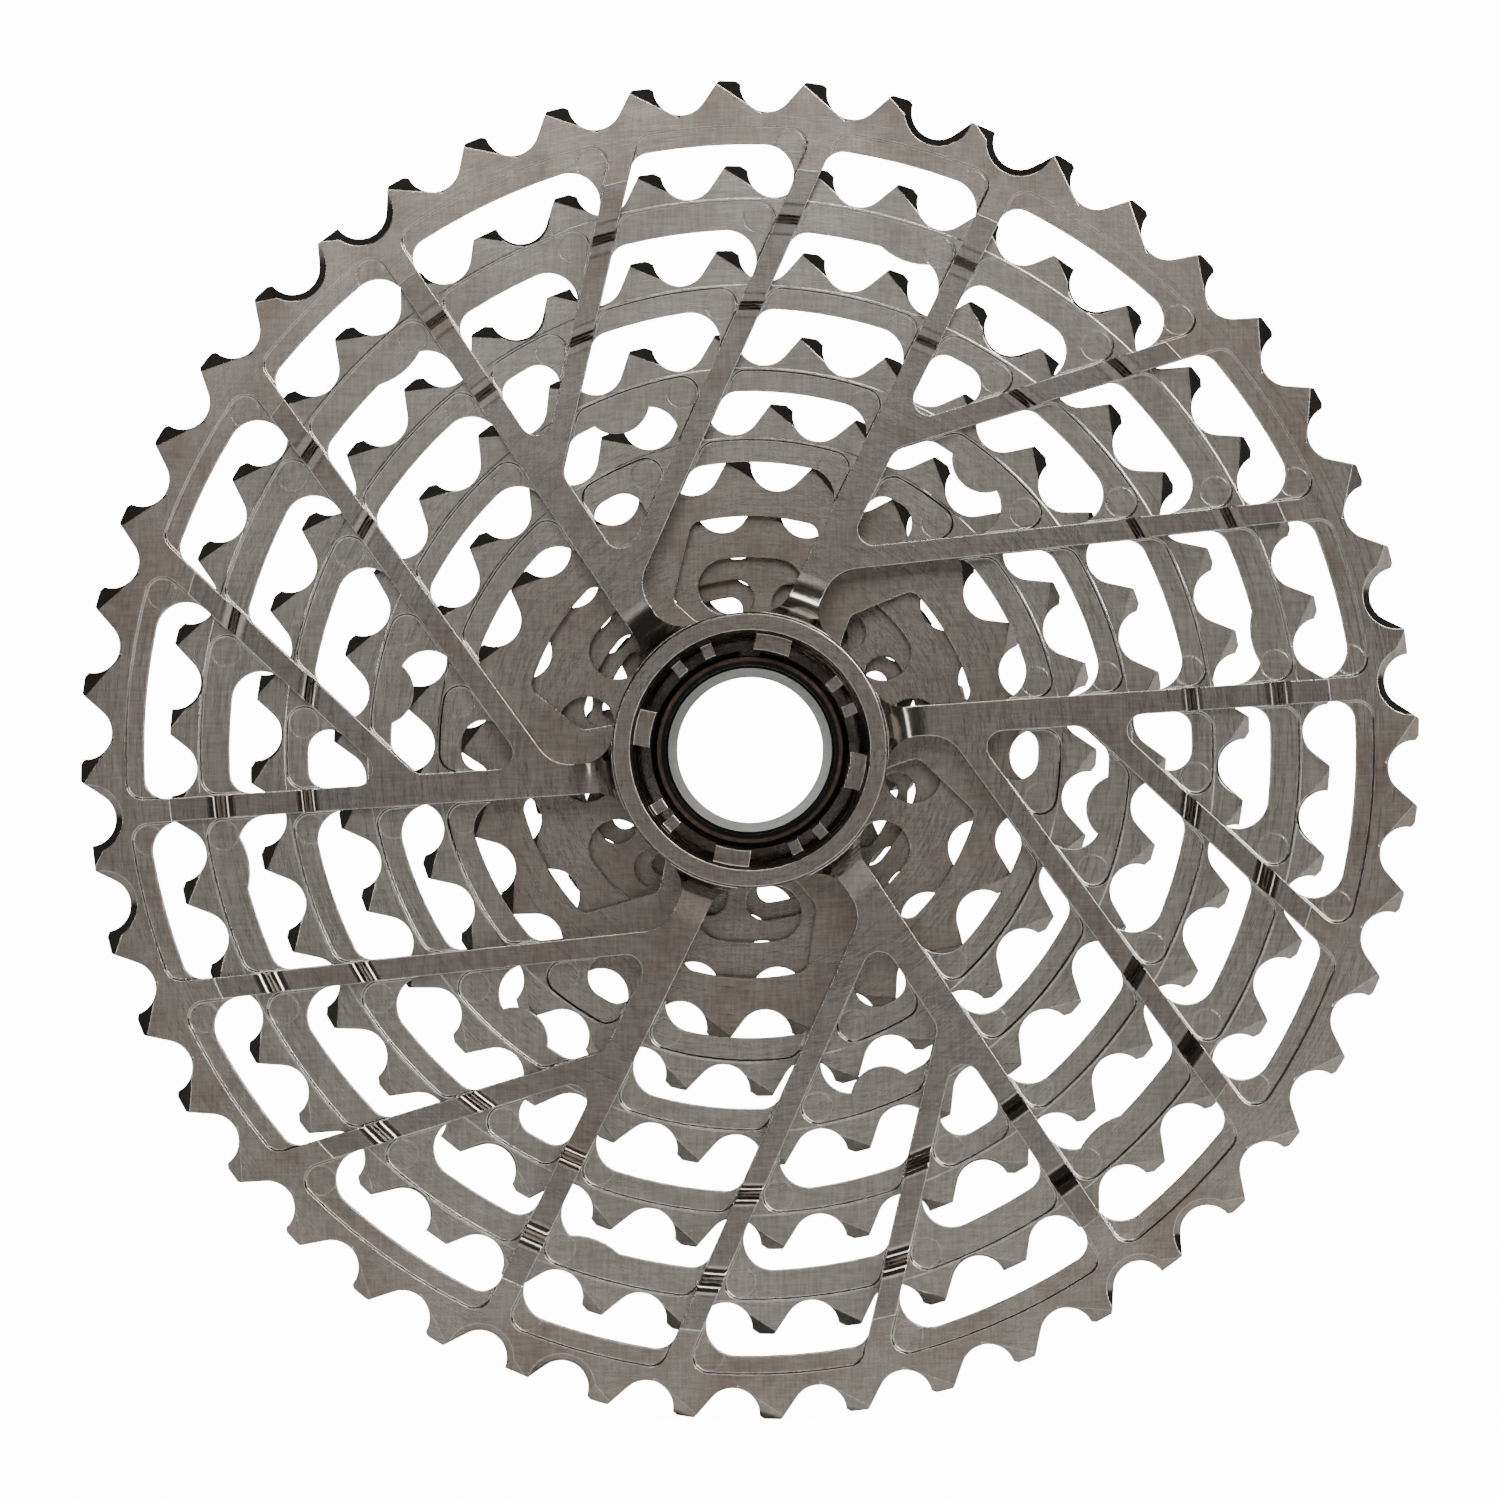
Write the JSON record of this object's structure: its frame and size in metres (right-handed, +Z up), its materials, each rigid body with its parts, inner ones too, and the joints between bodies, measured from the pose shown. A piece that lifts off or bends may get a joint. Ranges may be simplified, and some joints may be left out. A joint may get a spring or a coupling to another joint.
{
  "type": "bicycle cassette sprocket cluster",
  "caption": "Wide-range bicycle cassette: toothed sprockets on a stepped open spider with a splined bore and a captive threaded lock tube.",
  "frame": {"origin": "centre of the bore in the rear face, the face beside the wheel's spokes", "axes": "+Y along the cassette's axis from the largest sprocket towards the smallest, +Z up, +X right as seen from the rear"},
  "size_m": [0.1956, 0.041, 0.1956],
  "materials": {
    "spider_steel": "nickel-plated, turned and milled, satin",
    "large_rim_steel": "nickel-plated, turned face, satin",
    "rim_steel": "nickel-plated, turned face, satin",
    "small_sprocket_steel": "nickel-plated, turned face, satin",
    "spacer_steel": "turned, satin",
    "pin_steel": "ground, bright",
    "washer_polymer": "dull black",
    "lock_tube_aluminium": "hard-anodised, dark bronze",
    "spring_steel": "oiled, dark"
  },
  "bodies": {
    "cluster": {"spider_hub": "spider_steel", "spider_arm_1": "spider_steel", "spider_arm_2": "spider_steel", "spider_arm_3": "spider_steel", "spider_arm_4": "spider_steel", "spider_arm_5": "spider_steel", "spider_arm_6": "spider_steel", "sprocket_48t": "large_rim_steel", "sprocket_42t": "rim_steel", "sprocket_36t": "rim_steel", "sprocket_30t": "rim_steel", "sprocket_25t": "rim_steel", "sprocket_21t": "small_sprocket_steel", "sprocket_18t": "small_sprocket_steel", "sprocket_16t": "small_sprocket_steel", "sprocket_14t": "small_sprocket_steel", "sprocket_12t": "small_sprocket_steel", "sprocket_10t": "small_sprocket_steel", "spacer_21t_18t": "spacer_steel", "spacer_18t_16t": "spacer_steel", "spacer_16t_14t": "spacer_steel", "spacer_14t_12t": "spacer_steel", "spacer_12t_10t": "spacer_steel", "pins_48t": "pin_steel", "pins_42t": "pin_steel", "pins_36t": "pin_steel", "pins_30t": "pin_steel", "pins_25t": "pin_steel", "stack_rivets": "pin_steel", "nose_pins": "pin_steel", "thrust_washer": "washer_polymer"},
    "lock": {"lock_tube": "lock_tube_aluminium", "snap_ring": "spring_steel"}
  },
  "joints": [
    {"name": "lock_tube_spin", "type": "hinge", "parent": "cluster", "child": "lock", "pos_m": [0, 0.03, 0], "axis": [0, 1, 0], "continuous": true}
  ]
}
